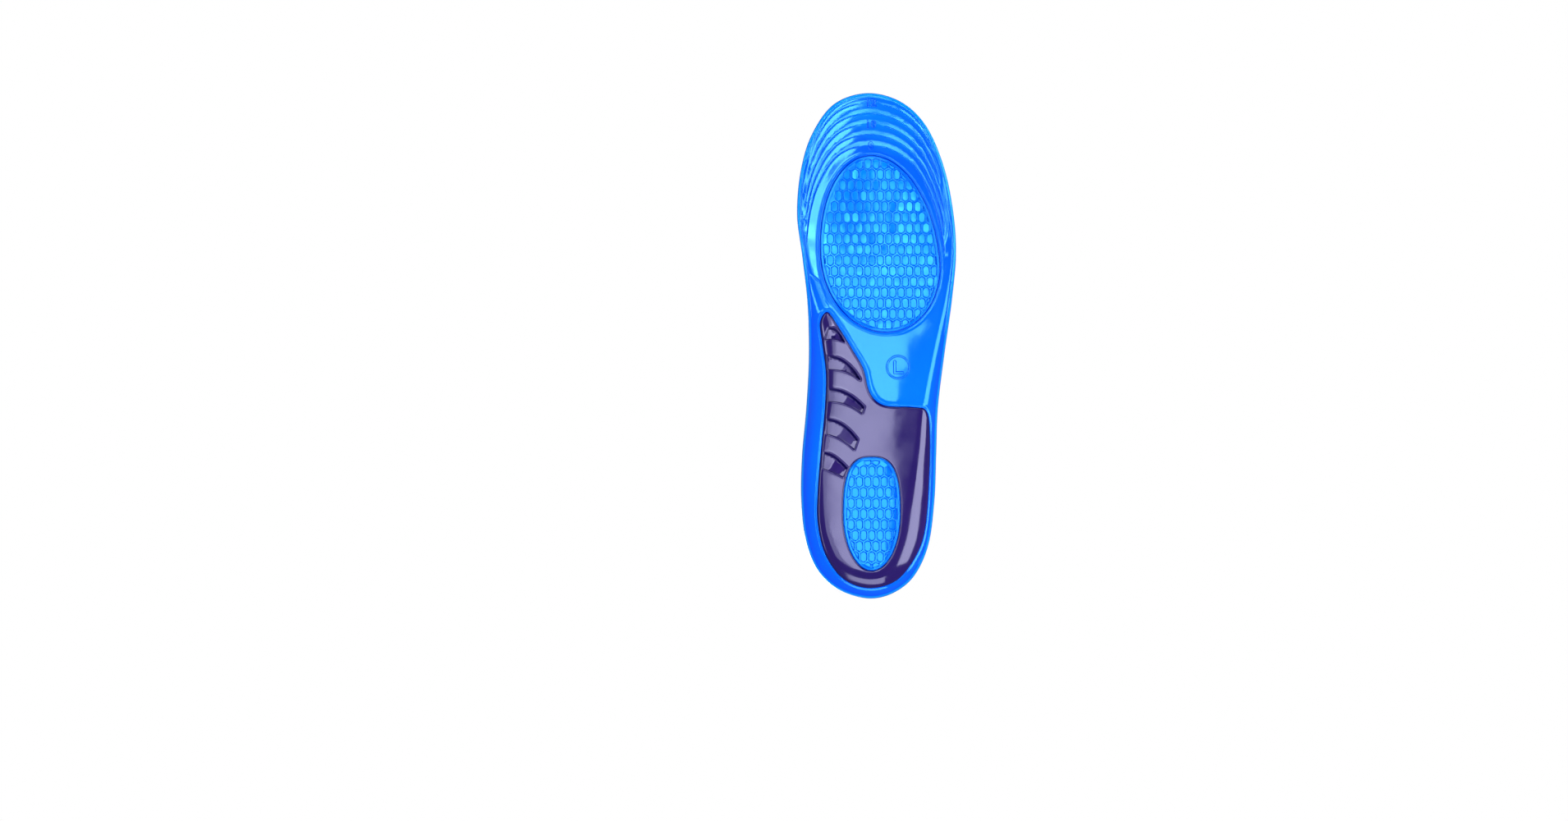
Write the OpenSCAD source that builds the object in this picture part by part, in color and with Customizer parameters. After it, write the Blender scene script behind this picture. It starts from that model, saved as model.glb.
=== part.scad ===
// Cushioned gel insole for the left foot, full length, trimmed to size at the toe.
// Z = 0 is the shoe's floor, +Z is up to the foot, +Y points to the toe and +X to the big-toe side.

/* [Overall size] */
// Length from the back of the heel to the tip of the toe
insole_l = 295; // [265:1:315]
// Width across the ball of the foot
insole_w = 92.8; // [84:0.4:100]
// Height of the rim at the inner side of the arch
arch_h = 17; // [15:0.5:20]
// Height of the rim round the heel
cup_h = 13.5; // [12:0.5:16]

/* [Layers] */
// Thickness of the velour top cover
cover_t = 0.8; // [0.5:0.1:1.2]
// Thickness of the film that keeps the gel out of the velour
film_t = 0.15; // [0.1:0.05:0.3]
// Gel between the film and the arch and heel support
over_t = 2.5; // [2.2:0.1:2.8]
// Thickness of the gel at the rim
rim_t = 1.6; // [1:0.1:2.2]
// How far the pads and the support stand below the gel round them
proud_t = 0.6; // [0.3:0.1:0.9]

/* [Arch and heel support] */
// Depth of the five slots under the arch
slot_depth = 1.5; // [0.5:0.1:2]
// Height of the top of the heel pad
heel_pad_top = 3.6; // [3:0.1:3.6]
// How far the heel pad is set in from the bottom of the support
heel_pad_recess = 0.4; // [0:0.1:1]

/* [Forefoot pad] */
// Thickness of the forefoot pad
fore_pad_t = 1.9; // [1.6:0.1:2.1]
// Half the width of the forefoot pad
fore_half_w = 34.6; // [28:0.2:36]

/* [Honeycomb] */
// Distance between two cells across the foot
cell_pitch = 4.85; // [4.5:0.05:8]
// Distance between two rows of cells along the foot
row_pitch = 6.25; // [5.5:0.05:10]
// Thickness of the wall between two cells
cell_wall = 0.85; // [0.6:0.05:1.4]
// Depth of the cells
cell_depth = 1; // [0.5:0.1:1.2]
// Plain border round each pad
pad_border = 1.8; // [1:0.1:3]

/* [Trim lines] */
// Distance along the foot between two trim lines
trim_step = 6.2; // [5:0.1:6.4]
// Width of a trim line
trim_w = 0.8; // [0.5:0.1:1.2]
// Depth of a trim line
trim_depth = 0.4; // [0.2:0.1:0.6]
// How far the size numbers and the side mark are raised
mark_raise = 0.3; // [0.1:0.1:0.3]

/* [Hidden] */

// The outline's points below are drawn for this length and width, and then stretched
drawn_l = 295;
drawn_w = 92.8;
kx = insole_w / drawn_w;
ky = insole_l / drawn_l;
curve_steps = 4;
cut = 1;
far = 60;

// The outline, from the back of the heel up the inner side to the toe and down the outer side
outline = [
    [5, -147.5], [22, -142.5], [34.5, -131], [41.5, -113], [44, -90], [43.5, -64], [41, -36],
    [39.5, -6], [40.3, 24], [43.4, 52], [46.4, 76], [44.5, 101], [38, 123], [25, 141],
    [5.5, 147.5], [-14, 142.5], [-28.5, 129], [-38.5, 107], [-44.2, 82], [-46.4, 56], [-44, 27],
    [-39.8, -4], [-36, -36], [-35, -64], [-34, -90], [-30.5, -116], [-22, -134.5], [-9.5, -144.5]];

// The middle line that the surfaces are drawn towards: [place along the foot, place across it]
spine = [[-108, 5], [-60, 4], [0, -0.5], [60, -0.7], [104, 2.5]];

// Heights of the top surface: [place along the foot, height]
top_middle = [[-148, 8], [-108, 7.2], [-60, 7.6], [-25, 8.2], [10, 6.4], [40, 4.6], [60, 4.1],
    [104, 3.8], [148, 3.6]];
top_inner_rim = [[-148, cup_h], [-108, cup_h], [-60, (cup_h + arch_h) / 2], [-25, arch_h],
    [10, arch_h * 0.7], [35, 6.5], [60, 4.8], [104, 4.4], [148, 4.2]];
top_outer_rim = [[-148, cup_h], [-108, cup_h - 0.5], [-60, cup_h - 1.5], [-25, 11], [10, 8],
    [35, 5.6], [60, 4.8], [104, 4.4], [148, 4.2]];
dish = 3.5;

// How far in from the rim the underside reaches the floor: [place along the foot, distance]
roll_inner = [[-148, 9], [-108, 12], [-60, 14], [-25, 16], [10, 15], [38, 6], [60, 4], [148, 4]];
roll_outer = [[-148, 9], [-108, 10], [-60, 9], [-25, 8], [10, 6], [38, 5], [60, 4], [148, 4]];
roll_power = 1.6;

// Rings of the layered surfaces: distances in from the rim, then shares of the way to the middle
ring_steps = [0, 1.2, 3, 6, 10, 16];
ring_shares = [0.5, 0.94];

// The arch and heel support, from its tip at the inner side of the arch round the heel
support_outline = [
    [28.7, 19.8], [22.5, 11.7], [14.3, -1.7], [7.8, -13.1], [3.8, -27.5], [-4.3, -34.5],
    [-21, -35.6], [-29.2, -38], [-31.2, -52], [-30.9, -76.3], [-28.6, -106], [-22.9, -122.9],
    [-11.5, -137], [4.5, -141.3], [19.5, -135.8], [29.9, -121.5], [34.4, -103], [34.3, -84],
    [32.4, -60], [30.2, -36], [29.6, -16], [31.8, 2], [33, 14]];

// Each slot: its end at the inner side, a point that bends it and its far end, along the toe
// edge and then back along the heel edge
slots = [
    [[28, 10.9], [22.5, 11.5], [18.8, 2.6], [18.6, 2.2], [25, 5.2], [30.1, 3.3]],
    [[28.9, -5.5], [17.5, -5.5], [9.6, -19.2], [9.8, -20], [17, -13.2], [28.9, -13.6]],
    [[28.3, -24.6], [17.5, -24.3], [7.2, -35.4], [8.6, -39.3], [18, -31.8], [28.3, -32.5]],
    [[29, -42.3], [19.5, -42.8], [11, -54.3], [13.1, -60.5], [20.5, -53], [29.2, -51.3]],
    [[30.4, -61.8], [24.5, -62.5], [17, -71], [19.6, -76.4], [25.5, -73.3], [31.4, -71.4]]];

// The forefoot pad: an egg that leans to the inner side towards the toe
fore_mid = [-2, 50];
fore_to_toe = 61;
fore_to_heel = 42;
fore_lean = 0.085;

// The heel pad: an egg with a squarer toe end
heel_mid = [2.9, -97.8];
heel_half_w = 16.7;
heel_half_l = 33.1;
toe_end_square = 0.72;

// Trim lines: how far the first one is from the tip, the gap inside the outline, where each ends
trim_first = 4.8;
trim_inset = 1;
trim_ends = [[124, 114], [105, 98], [84, 77], [75, 68], [58, 52]];
number_gap = 5;
number_x = 3.5;
number_h = 4;
stroke_w = 0.8;
side_mark = [-12.4, -12.3];
side_mark_r = 6.5;

// ---- Curves ----

function place(p) = [p[0] * kx, p[1] * ky];

// A point on a smooth curve through four points, between the second and the third
function bend(a, b, c, d, t) =
    (2 * b + (c - a) * t + (2 * a - 5 * b + 4 * c - d) * t ^ 2 + (3 * b - a - 3 * c + d) * t ^ 3) / 2;

// A smooth closed curve through a list of points
function closed_curve(pts, steps) =
    let (n = len(pts))
    [for (i = [0 : n - 1], s = [0 : steps - 1])
        place(bend(pts[(i + n - 1) % n], pts[i], pts[(i + 1) % n], pts[(i + 2) % n], s / steps))];

// A smooth curve through three points, the middle one of which only bends it
function arc3(a, b, c, steps) =
    [for (s = [0 : steps]) let (t = s / steps) (1 - t) ^ 2 * a + 2 * t * (1 - t) * b + t ^ 2 * c];

// The value of a table at a place along the foot, with no kink at the table's rows
function row_of(tab, y, i = 0) = (i >= len(tab) - 2 || y < tab[i + 1][0]) ? i : row_of(tab, y, i + 1);
function slope_of(tab, i) =
    let (a = tab[max(0, i - 1)], b = tab[min(len(tab) - 1, i + 1)])
    (b[1] - a[1]) / (b[0] - a[0]);
function value_at(tab, y) =
    let (i = row_of(tab, y),
         w = tab[i + 1][0] - tab[i][0],
         t = max(0, min(1, (y - tab[i][0]) / w)))
    tab[i][1] * (1 + 2 * t) * (1 - t) ^ 2 + tab[i + 1][1] * t ^ 2 * (3 - 2 * t)
    + w * t * (1 - t) * (slope_of(tab, i) * (1 - t) - slope_of(tab, i + 1) * t);

// ---- The layered surfaces ----

rim = closed_curve(outline, curve_steps);
rim_n = len(rim);
toe_i = rim_n / 2;
spine_end = [spine[0][0], spine[len(spine) - 1][0]];

function middle_of(j) =
    let (y = max(spine_end[0], min(spine_end[1], rim[j][1] / ky)))
    place([value_at(spine, y), y]);
function inner_side(j) = j <= toe_i;
function reach(j) = norm(rim[j] - middle_of(j));
function rim_height(j) = value_at(inner_side(j) ? top_inner_rim : top_outer_rim, rim[j][1] / ky);
function roll_width(j) = value_at(inner_side(j) ? roll_inner : roll_outer, rim[j][1] / ky);
function ring_in(j, k) =
    let (last = ring_steps[len(ring_steps) - 1], more = k - len(ring_steps))
    more < 0 ? ring_steps[k] : last + (reach(j) - last) * ring_shares[more];
rings_n = len(ring_steps) + len(ring_shares);

function spot(j, k) = rim[j] + (middle_of(j) - rim[j]) * ring_in(j, k) / reach(j);

// Height of the top of the cover
function top_z(j, k) =
    let (mid = value_at(top_middle, spot(j, k)[1] / ky), r = 1 - ring_in(j, k) / reach(j))
    mid + (rim_height(j) - mid) * r ^ dish;

// Height of the lowest surface, on the floor inside the rolled edge
function floor_z(j, k) =
    let (lift = rim_height(j) - cover_t - film_t - rim_t - proud_t)
    lift * max(0, 1 - ring_in(j, k) / roll_width(j)) ^ roll_power;

function top_ring(k, drop) = [for (j = [0 : rim_n - 1]) [each spot(j, k), top_z(j, k) - drop]];
function floor_ring(k, rise) = [for (j = [0 : rim_n - 1]) [each spot(j, k), floor_z(j, k) + rise]];

// The rings of a top surface from the middle out, and of a lower surface from the rim in
function top_surface(drop) = [for (k = [rings_n - 1 : -1 : 0]) top_ring(k, drop)];
function top_underneath(drop) = [for (k = [0 : rings_n - 1]) top_ring(k, drop)];
function floor_surface(rise) = [for (k = [0 : rings_n - 1]) floor_ring(k, rise)];

// A closed solid through a list of rings
module loft(rings) {
    n = len(rings[0]);
    m = len(rings);
    polyhedron(points = [for (r = rings) each r], faces = [
        for (k = [0 : m - 2], j = [0 : n - 1])
            let (a = k * n + j, b = k * n + (j + 1) % n)
            each [[a, b, b + n], [a, b + n, a + n]],
        for (j = [0 : n / 2 - 1])
            let (a = j, b = j + 1, c = (n - j) % n, d = n - j - 1)
            each (j == 0 ? [[a, d, b]] : j == n / 2 - 1 ? [[a, c, b]] : [[a, c, d], [a, d, b]]),
        for (j = [0 : n / 2 - 1])
            let (o = (m - 1) * n, a = o + j, b = o + j + 1, c = o + (n - j) % n, d = o + n - j - 1)
            each (j == 0 ? [[a, b, d]] : j == n / 2 - 1 ? [[a, b, c]] : [[a, b, d], [a, d, c]])]);
}

// ---- Flat shapes ----

function fore_egg(inset, steps) =
    [for (s = [0 : steps - 1])
        let (a = 360 * s / steps,
             x = (fore_half_w - inset) * cos(a),
             y = ((sin(a) > 0 ? fore_to_toe : fore_to_heel) - inset) * sin(a))
        place(fore_mid + [x + y * fore_lean, y])];

function heel_egg(inset, steps) =
    [for (s = [0 : steps - 1])
        let (a = 360 * s / steps,
             p = sin(a) > 0 ? toe_end_square : 1,
             x = (heel_half_w - inset) * sign(cos(a)) * abs(cos(a)) ^ p,
             y = (heel_half_l - inset) * sign(sin(a)) * abs(sin(a)) ^ p)
        place(heel_mid + [x, y])];

// Honeycomb cells, pointed towards the toe, cut off at the edge of an egg
module cells(egg, middle, half) {
    rise = tan(30);
    tip = (row_pitch + rise * cell_pitch / 2) / 2 - cell_wall / 2 / cos(30);
    side = (cell_pitch - cell_wall) / 2;
    shoulder = tip - side * rise;
    rows = ceil(half[1] / row_pitch);
    columns = ceil(half[0] / cell_pitch);
    intersection() {
        polygon(egg);
        for (r = [-rows : rows], c = [-columns : columns])
            let (at = middle + [(c + (r % 2 == 0 ? 0 : 0.5)) * cell_pitch, r * row_pitch])
            if (inside(at, middle, half))
                translate(at)
                    polygon([[0, tip], [-side, shoulder], [-side, -shoulder], [0, -tip],
                        [side, -shoulder], [side, shoulder]]);
    }
}
function inside(p, middle, half) =
    let (q = p - middle) (q[0] / half[0]) ^ 2 + (q[1] / half[1]) ^ 2 < 1;

// A band of even width along a path
function across(path, i) =
    let (d = path[min(len(path) - 1, i + 1)] - path[max(0, i - 1)]) [-d[1], d[0]] / norm(d);
module band(path, w) {
    last = len(path) - 1;
    polygon([
        for (i = [0 : last]) path[i] + across(path, i) * w / 2,
        for (i = [last : -1 : 0]) path[i] - across(path, i) * w / 2]);
}

module slot_shapes() {
    for (s = slots)
        polygon([for (p = concat(arc3(s[0], s[1], s[2], 6), arc3(s[3], s[4], s[5], 6))) place(p)]);
}

// The toe part of the outline, shortened by one size
function trim_path(i) =
    let (shorter = trim_first + trim_step * i, k = 1 - shorter / drawn_l)
    [for (j = [0 : rim_n - 1])
        let (q = rim[j] + (middle_of(j) - rim[j]) * trim_inset / reach(j),
             p = [q[0] * k, (q[1] + insole_l / 2) * k - insole_l / 2])
        if (p[1] > ky * trim_ends[i][inner_side(j) ? 0 : 1]) p];

// ---- Numbers and the side mark, as read from below ----

function ellipse(rx, ry, steps) =
    [for (s = [0 : steps - 1]) [rx * cos(360 * s / steps), ry * sin(360 * s / steps)]];
module loop(rx, ry, w, steps) {
    difference() {
        polygon(ellipse(rx + w / 2, ry + w / 2, steps));
        polygon(ellipse(rx - w / 2, ry - w / 2, steps));
    }
}
module digit(d) {
    h = number_h / 2;
    r = h * 0.48;
    if (d == 0) loop(r, h * 0.9, stroke_w, 12);
    if (d == 1) band([[0, -h], [0, h]], stroke_w);
    if (d == 2) {
        band([for (a = [170 : -30 : -40]) [r * cos(a), h - r + r * sin(a)]], stroke_w);
        band([[r * 0.8, h - r * 1.6], [-r, -h + stroke_w / 2]], stroke_w);
        band([[-r - stroke_w / 2, -h + stroke_w / 2], [r + stroke_w / 2, -h + stroke_w / 2]], stroke_w);
    }
    if (d == 8) {
        translate([0, r]) loop(r * 0.85, r * 0.85, stroke_w, 10);
        translate([0, -r]) loop(r, r, stroke_w, 10);
    }
}
module number(digits) {
    for (i = [0 : len(digits) - 1])
        translate([(i - (len(digits) - 1) / 2) * number_h * 0.8, 0]) digit(digits[i]);
}
function number_place(i) = [number_x * kx, insole_l / 2 - trim_first - trim_step * i - trim_inset];

module numbers() {
    translate(number_place(0)) mirror([1, 0]) number([1, 2]);
    translate(number_place(2)) mirror([1, 0]) number([1, 0]);
    translate(number_place(4)) mirror([1, 0]) number([8]);
}

module side_mark_shape() {
    leg = side_mark_r * 0.5;
    translate(place(side_mark)) {
        loop(side_mark_r, side_mark_r, stroke_w, 32);
        mirror([1, 0])
            band([[-leg * 0.6, leg], [-leg * 0.6, -leg], [leg * 0.8, -leg]], stroke_w * 1.5);
    }
}

module trim_lines() {
    difference() {
        for (i = [0 : len(trim_ends) - 1]) band(trim_path(i), trim_w);
        for (i = [0 : 2 : len(trim_ends) - 1])
            translate(number_place(i)) square([2 * number_gap, number_h * 1.3], center = true);
    }
}

// ---- The pieces ----

// Everything between the floor and the underside of the gel that covers the support
module support_block() {
    intersection() {
        loft(concat(top_surface(cover_t + film_t + over_t), floor_surface(0)));
        translate([0, 0, -cut])
            linear_extrude(far) polygon(closed_curve(support_outline, curve_steps));
    }
}

module heel_window(z0, z1) {
    translate([0, 0, z0]) linear_extrude(z1 - z0) polygon(heel_egg(0, 48));
}

// Cream velour, worn against the sock
module top_cover() {
    color("antiquewhite") loft(concat(top_surface(0), top_underneath(cover_t)));
}

// Thin film bonded to the back of the velour
module barrier_film() {
    color("gainsboro") loft(concat(top_surface(cover_t), top_underneath(cover_t + film_t)));
}

// Blue gel over the whole foot, with pockets for the support and the two pads
module gel_body() {
    color("dodgerblue") union() {
        difference() {
            loft(concat(top_surface(cover_t + film_t), floor_surface(proud_t)));
            difference() {
                support_block();
                heel_window(-cut, far);
            }
            heel_window(-cut, heel_pad_top);
            translate([0, 0, -cut]) linear_extrude(cut + fore_pad_t) polygon(fore_egg(0, 72));
            translate([0, 0, -cut]) linear_extrude(cut + proud_t + trim_depth) trim_lines();
        }
        translate([0, 0, proud_t - mark_raise]) linear_extrude(2 * mark_raise) numbers();
        translate([0, 0, proud_t - mark_raise]) linear_extrude(2 * mark_raise) side_mark_shape();
    }
}

// Firmer indigo gel that wraps the heel and rises under the arch
module arch_heel_support() {
    color("indigo") difference() {
        support_block();
        heel_window(-cut, far);
        intersection() {
            loft(concat(top_surface(cover_t + film_t), floor_surface(slot_depth)));
            translate([0, 0, -cut]) linear_extrude(far) slot_shapes();
        }
        translate([0, 0, -cut]) linear_extrude(cut) slot_shapes();
    }
}

// Softer blue gel under the ball of the foot
module forefoot_pad() {
    color("deepskyblue") difference() {
        linear_extrude(fore_pad_t) polygon(fore_egg(0, 72));
        translate([0, 0, -cut]) linear_extrude(cut + cell_depth)
            cells(fore_egg(pad_border, 72), place(fore_mid), [fore_half_w, fore_to_toe]);
    }
}

// Softer blue gel under the heel bone, in the support's window
module heel_pad() {
    color("deepskyblue") difference() {
        heel_window(heel_pad_recess, heel_pad_top);
        translate([0, 0, -cut]) linear_extrude(cut + heel_pad_recess + cell_depth)
            cells(heel_egg(pad_border, 48), place(heel_mid), [heel_half_w, heel_half_l]);
    }
}

top_cover();
barrier_film();
gel_body();
forefoot_pad();
arch_heel_support();
heel_pad();
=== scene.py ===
"""Looks of the cushioned gel insole: fine meshes, materials, studio and camera.

The shapes follow the same curves and height tables as the CAD model, in millimetres, stretched to
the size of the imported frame. Every piece is a slab: a flat plan, triangulated, with a lower and an
upper height at each point. The underside faces -Z, and the toe points to +Y.
"""
import math

import bpy
import numpy as np
from mathutils import Matrix, Vector
from mathutils.geometry import delaunay_2d_cdt


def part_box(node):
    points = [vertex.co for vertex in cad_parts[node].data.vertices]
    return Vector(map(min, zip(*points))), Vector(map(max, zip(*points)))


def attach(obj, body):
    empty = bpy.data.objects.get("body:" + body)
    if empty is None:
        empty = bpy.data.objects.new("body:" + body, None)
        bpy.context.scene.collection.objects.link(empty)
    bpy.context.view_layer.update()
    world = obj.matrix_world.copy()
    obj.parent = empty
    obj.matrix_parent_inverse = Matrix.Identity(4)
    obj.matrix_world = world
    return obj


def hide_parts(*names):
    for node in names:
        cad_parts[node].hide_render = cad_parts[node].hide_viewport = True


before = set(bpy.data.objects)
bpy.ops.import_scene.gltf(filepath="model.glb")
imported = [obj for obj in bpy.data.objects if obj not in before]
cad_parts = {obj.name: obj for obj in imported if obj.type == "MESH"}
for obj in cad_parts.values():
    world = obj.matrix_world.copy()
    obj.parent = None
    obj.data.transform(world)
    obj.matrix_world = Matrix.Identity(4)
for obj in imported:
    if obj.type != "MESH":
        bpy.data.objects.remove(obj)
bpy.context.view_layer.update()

MM = 0.001

# ---- Sizes ----

DRAWN_L = 295.0
DRAWN_W = 92.8
gel_low, gel_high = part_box("gel_body")
KX = (gel_high.x - gel_low.x) / MM / DRAWN_W
KY = (gel_high.y - gel_low.y) / MM / DRAWN_L
STRETCH = np.array([KX, KY])
HALF_L = DRAWN_L * KY / 2

COVER_T = 0.8
COVER_INSET = 0.35
FILM_T = 0.15
OVER_T = 2.5
RIM_T = 1.6
PROUD_T = 0.6
SLOT_DEPTH = 1.3
SLOT_DROP = 1.3
SLOT_BANK = 1.2
SLOT_BEND = 0.5
GAP = 0.1

OUTLINE = [
    (5, -147.5), (22, -142.5), (34.5, -131), (41.5, -113), (44, -90), (43.5, -64), (41, -36),
    (39.5, -6), (40.3, 24), (43.4, 52), (46.4, 76), (44.5, 101), (38, 123), (25, 141),
    (5.5, 147.5), (-14, 142.5), (-28.5, 129), (-38.5, 107), (-44.2, 82), (-46.4, 56), (-44, 27),
    (-39.8, -4), (-36, -36), (-35, -64), (-34, -90), (-30.5, -116), (-22, -134.5), (-9.5, -144.5)]
SPINE = [(-108, 5), (-60, 4), (0, -0.5), (60, -0.7), (104, 2.5)]

ARCH_H = 17.0
CUP_H = 13.5
TOP_MIDDLE = [(-148, 8), (-108, 7.2), (-60, 7.6), (-25, 8.2), (10, 6.4), (40, 4.6), (60, 4.1),
              (104, 3.8), (148, 3.6)]
TOP_INNER = [(-148, CUP_H), (-108, CUP_H), (-60, (CUP_H + ARCH_H) / 2), (-25, ARCH_H),
             (10, ARCH_H * 0.7), (35, 6.5), (60, 4.8), (104, 4.4), (148, 4.2)]
TOP_OUTER = [(-148, CUP_H), (-108, CUP_H - 0.5), (-60, CUP_H - 1.5), (-25, 11), (10, 8),
             (35, 5.6), (60, 4.8), (104, 4.4), (148, 4.2)]
DISH = 3.5
ROLL_INNER = [(-148, 18), (-108, 15), (-60, 14.5), (-25, 16.5), (10, 15), (38, 7), (60, 4.5),
              (148, 4.5)]
ROLL_OUTER = [(-148, 18), (-108, 20), (-60, 13.5), (-25, 10.5), (10, 7.5), (38, 5.5), (60, 4.5),
              (148, 4.5)]
ROLL_POWER = 2.3
CROWN = [(-148, 1.5), (-60, 1.6), (-25, 1.5), (10, 0.9), (38, 0.5), (60, 0.45), (148, 0.5)]

SUPPORT_OUTLINE = [
    (28.7, 19.8), (22.5, 11.7), (14.3, -1.7), (7.8, -13.1), (3.8, -27.5), (-4.3, -34.5),
    (-21, -35.6), (-29.2, -38), (-31.2, -52), (-30.9, -76.3), (-28.6, -106), (-22.9, -122.9),
    (-11.5, -137), (4.5, -141.3), (19.5, -135.8), (29.9, -121.5), (34.4, -103), (34.3, -84),
    (32.4, -60), (30.2, -36), (29.6, -16), (31.8, 2), (33, 14)]
SLOTS = [
    [(28, 10.9), (22.5, 11.5), (18.8, 2.6), (18.6, 2.2), (25, 5.2), (30.1, 3.3)],
    [(28.9, -5.5), (17.5, -5.5), (9.6, -19.2), (9.8, -20), (17, -13.2), (28.9, -13.6)],
    [(28.3, -24.6), (17.5, -24.3), (7.2, -35.4), (8.6, -39.3), (18, -31.8), (28.3, -32.5)],
    [(29, -42.3), (19.5, -42.8), (11, -54.3), (13.1, -60.5), (20.5, -53), (29.2, -51.3)],
    [(30.4, -61.8), (24.5, -62.5), (17, -71), (19.6, -76.4), (25.5, -73.3), (31.4, -71.4)]]

FORE_MID = np.array([-2.0, 50.0])
FORE_HALF_W = 34.6
FORE_TO_TOE = 61.0
FORE_TO_HEEL = 42.0
FORE_LEAN = 0.085
FORE_TOP = 1.9
HEEL_MID = np.array([2.9, -97.8])
HEEL_HALF_W = 16.7
HEEL_HALF_L = 33.1
HEEL_SQUARE = 0.72
HEEL_LOW = 0.4
HEEL_TOP = 3.6

CELL_PITCH = 4.85
ROW_PITCH = 6.25
CELL_WALL = 0.75
CELL_DEPTH = 1.0
CELL_TILT = 0.006
PAD_BORDER = 1.8

TRIM_FIRST = 4.8
TRIM_STEP = 6.2
TRIM_INSET = 1.0
TRIM_ENDS = [(124, 114), (105, 98), (84, 77), (75, 68), (58, 52)]
TRIM_W = 0.9
TRIM_DEPTH = 0.5
TRIM_BEAD = 1.4
TRIM_FADE = 4.0
BAND_RISE = 0.22
BAND_FLAT = 0.1
BAND_FROM, BAND_FADE = 50.0, 30.0
BAND_MIDDLE_SHARE, BAND_MIDDLE_W = 0.3, 24.0
FLAT_FROM, FLAT_FADE = 6.0, 18.0
RIM_ROUND = 1.0
LIP_AT, LIP_W, LIP_DEPTH = 2.05, 0.32, 0.16
BORDER_AT, BORDER_W, BORDER_H = 1.5, 0.7, 0.35
OVAL_AT, OVAL_W, OVAL_H = 1.6, 0.6, 0.2
SLOT_LIP_AT, SLOT_LIP_W, SLOT_LIP_H = -0.5, 0.35, 0.12
PAD_LIP_AT, PAD_LIP_W, PAD_LIP_H = 0.85, 0.5, 0.35
CREASE = [(40.9, 44.9), (37.3, 40.8), (33.7, 37.8), (31.9, 33), (29.5, 27), (26.5, 22.2)]
CREASE_W = 1.1
CREASE_DEPTH = 0.3
CREASE_FADE = 6.0
NUMBER_GAP = 5.0
NUMBER_X = 3.5
NUMBER_H = 4.0
STROKE_W = 0.9
MARK_RAISE = 0.55
SIDE_MARK = np.array([-12.4, -12.3])
SIDE_MARK_R = 6.5
SIDE_MARK_SOFT = 0.45
# Painted light near the gel's rim: its colour is drawn as for gel no thicker than this, rising with the
# distance in from the rim.
PAINTED_RIM_LIGHT, PAINTED_RIM_LIGHT_RISE = 0.9, 0.8


# ---- Curves and heights ----

def value_at(table, y):
    """The value of a table at places along the foot, with no kink at its rows."""
    ys, vs = np.array(table, float).T
    index = np.arange(len(ys))
    before, after = np.maximum(index - 1, 0), np.minimum(index + 1, len(ys) - 1)
    slope = (vs[after] - vs[before]) / (ys[after] - ys[before])
    i = np.clip(np.searchsorted(ys, y, side="right") - 1, 0, len(ys) - 2)
    w = ys[i + 1] - ys[i]
    t = np.clip((y - ys[i]) / w, 0, 1)
    ends = vs[i] * (1 + 2 * t) * (1 - t) ** 2 + vs[i + 1] * t * t * (3 - 2 * t)
    return ends + w * t * (1 - t) * (slope[i] * (1 - t) - slope[i + 1] * t)


def closed_curve(points, steps):
    """A smooth closed curve through a list of points."""
    p = np.array(points, float)
    a, c, d = np.roll(p, 1, 0), np.roll(p, -1, 0), np.roll(p, -2, 0)
    t = (np.arange(steps) / steps)[None, :, None]
    a, b, c, d = (q[:, None, :] for q in (a, p, c, d))
    curve = (2 * b + (c - a) * t + (2 * a - 5 * b + 4 * c - d) * t ** 2
             + (3 * b - a - 3 * c + d) * t ** 3) / 2
    return curve.reshape(-1, 2) * STRETCH


def arc3(a, b, c, steps=12):
    """A smooth curve through a and c that b bends."""
    t = np.linspace(0, 1, steps + 1)[:, None]
    a, b, c = (np.array(q, float) for q in (a, b, c))
    return (1 - t) ** 2 * a + 2 * t * (1 - t) * b + t ** 2 * c


def evened(path, step, closed):
    """The same path with evenly spaced points."""
    p = np.vstack([path, path[:1]]) if closed else np.array(path, float)
    along = np.concatenate([[0], np.cumsum(np.hypot(*np.diff(p, axis=0).T))])
    n = max(3, int(round(along[-1] / step)))
    at = np.linspace(0, along[-1], n + 1)
    out = np.column_stack([np.interp(at, along, p[:, k]) for k in (0, 1)])
    return out[:-1] if closed else out


def shifted(path, offset, closed):
    """A path moved sideways, to the left of its direction."""
    if closed:
        d = np.roll(path, -1, 0) - np.roll(path, 1, 0)
    else:
        d = np.gradient(path, axis=0)
    d /= np.maximum(np.hypot(*d.T), 1e-9)[:, None]
    return path + offset * np.column_stack([-d[:, 1], d[:, 0]])


RIM = closed_curve(OUTLINE, 32)
TOE_I = len(RIM) // 2
SPINE_LOW, SPINE_HIGH = SPINE[0][0] * KY, SPINE[-1][0] * KY


def spine_point(y):
    yc = np.clip(y, SPINE_LOW, SPINE_HIGH)
    return value_at(SPINE, yc / KY) * KX, yc


def fan_table(rows, toe):
    """Angle, distance and place along the foot of the rim's points round one end of the spine."""
    end = SPINE_HIGH if toe else SPINE_LOW
    sx, sy = spine_point(np.array([end]))
    d = rows - np.array([sx[0], sy[0]])
    angle = np.arctan2(d[:, 0], d[:, 1] if toe else -d[:, 1])
    order = np.argsort(angle)
    return angle[order], np.hypot(*d.T)[order], rows[order, 1]


NEAR_END = 12.0
SIDE_IN = RIM[:TOE_I + 1]
SIDE_OUT = np.vstack([RIM[TOE_I:], RIM[:1]])[::-1]
HEEL_FAN = fan_table(RIM[RIM[:, 1] < SPINE_LOW + NEAR_END], False)
TOE_FAN = fan_table(RIM[RIM[:, 1] > SPINE_HIGH - NEAR_END], True)


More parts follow.
